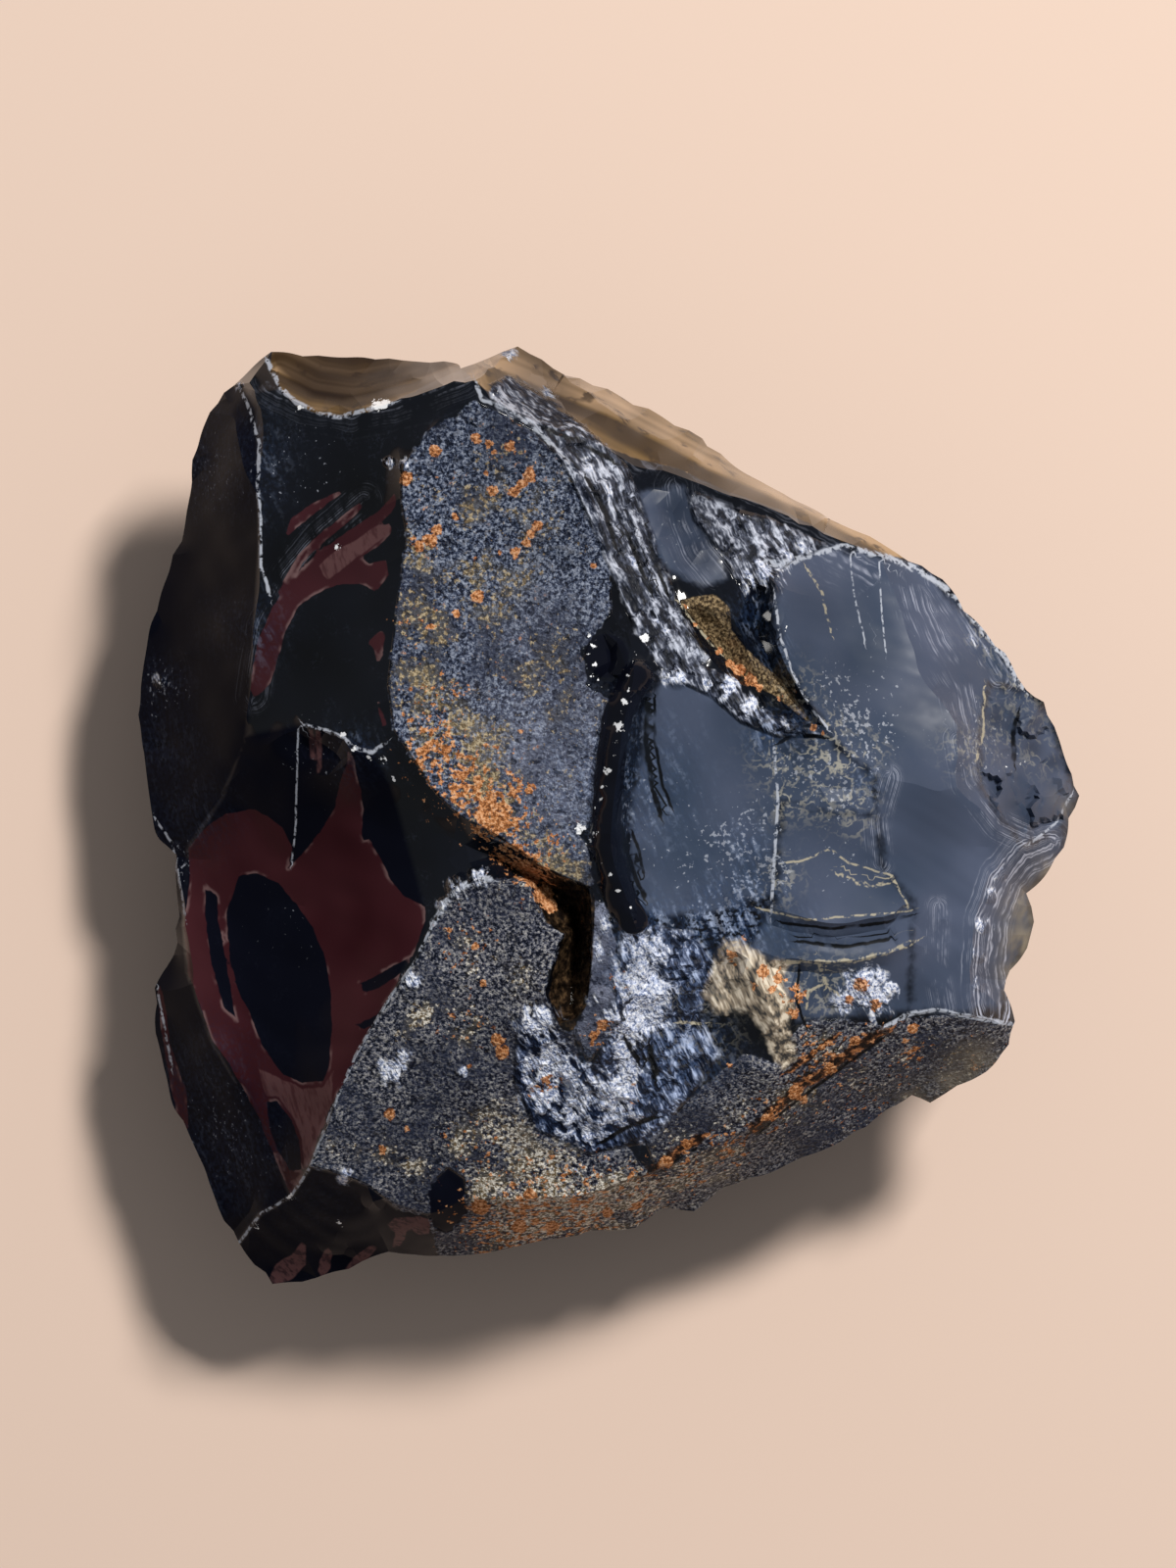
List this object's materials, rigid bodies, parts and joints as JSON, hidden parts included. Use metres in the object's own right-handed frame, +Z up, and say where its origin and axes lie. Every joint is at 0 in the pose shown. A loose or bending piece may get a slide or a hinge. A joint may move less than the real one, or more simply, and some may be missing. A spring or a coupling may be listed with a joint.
{
  "type": "obsidian chunk",
  "caption": "Raw chunk of dark obsidian with shell-shaped glassy fracture faces, a pitted grey rind and a sharp thin rim, lying on a flat fracture face.",
  "frame": {"origin": "centre of the bounding box seen from above, on the plane of the flat fracture face that the stone lies on", "axes": "+Z up out of the broad upper face, through the stone's thickness; +Y towards the end with the pale ridge; +X towards the pointed side"},
  "size_m": [0.076, 0.0756, 0.038],
  "materials": {
    "obsidian": "glossy"
  },
  "bodies": {
    "root": {"obsidian_chunk": "obsidian"}
  },
  "joints": []
}
